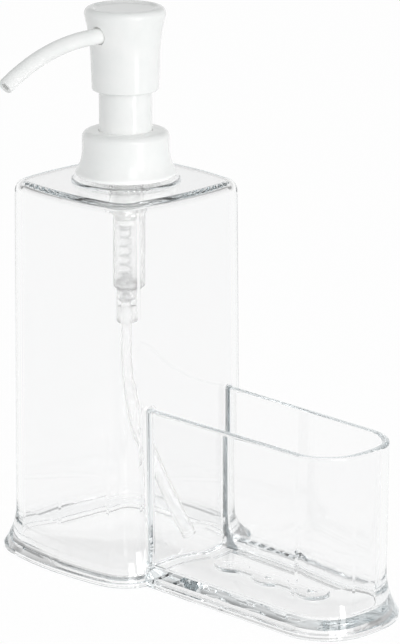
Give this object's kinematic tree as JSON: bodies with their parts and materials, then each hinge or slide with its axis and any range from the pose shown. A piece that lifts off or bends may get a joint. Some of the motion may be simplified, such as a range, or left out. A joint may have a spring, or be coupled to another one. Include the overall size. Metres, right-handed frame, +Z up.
{
  "type": "soap pump caddy",
  "caption": "Clear square soap bottle with a screw-on push pump and an open tray moulded onto its side, for liquid soap and a sponge or brush by the basin",
  "frame": {"origin": "on the pump's axis, in the plane that the caddy stands on", "axes": "+Z up along the pump's axis, +X towards the tray, -Y towards the spout's tip at rest"},
  "size_m": [0.1682, 0.1001, 0.2079],
  "materials": {
    "clear_plastic": "clear gloss",
    "white_plastic": "gloss",
    "natural_plastic": "translucent",
    "seal": "satin",
    "steel": "drawn"
  },
  "bodies": {
    "caddy": {"caddy_body": "clear_plastic", "base_plate": "clear_plastic"},
    "pump": {"pump_housing": "natural_plastic", "neck_sleeve": "white_plastic", "neck_gasket": "seal", "ball_cage": "natural_plastic", "dip_tube": "natural_plastic", "spring": "steel"},
    "collar": {"collar": "white_plastic"},
    "plunger": {"piston": "natural_plastic", "spring_seat": "white_plastic"},
    "head": {"stem": "white_plastic", "head_core": "white_plastic", "head_shell": "white_plastic", "spout": "white_plastic"},
    "inlet_valve": {"inlet_ball": "steel"},
    "outlet_valve": {"outlet_ball": "steel"}
  },
  "joints": [
    {"name": "pump_lift", "type": "slide", "parent": "caddy", "child": "pump", "axis": [0, 0, 1], "range_m": [0, 0.0063]},
    {"name": "collar_turn", "type": "hinge", "parent": "pump", "child": "collar", "pos_m": [0, 0, 0.15], "axis": [0, 0, 1], "range_deg": [0, 540]},
    {"name": "head_press", "type": "slide", "parent": "pump", "child": "plunger", "axis": [0, 0, -1], "range_m": [0, 0.013], "stiffness_N_per_m": 800, "springref_m": -0.005, "deforming": ["spring"]},
    {"name": "head_turn", "type": "hinge", "parent": "plunger", "child": "head", "pos_m": [0, 0, 0.19], "axis": [0, 0, 1], "continuous": true},
    {"name": "inlet_ball_lift", "type": "slide", "parent": "pump", "child": "inlet_valve", "axis": [0, 0, 1], "range_m": [0, 0.0012]},
    {"name": "outlet_ball_lift", "type": "slide", "parent": "head", "child": "outlet_valve", "axis": [0, 0, 1], "range_m": [0, 0.0015]}
  ],
  "couplings": [
    {"joint": "collar_turn", "follows": "pump_lift", "rad_per_m": 1496}
  ]
}
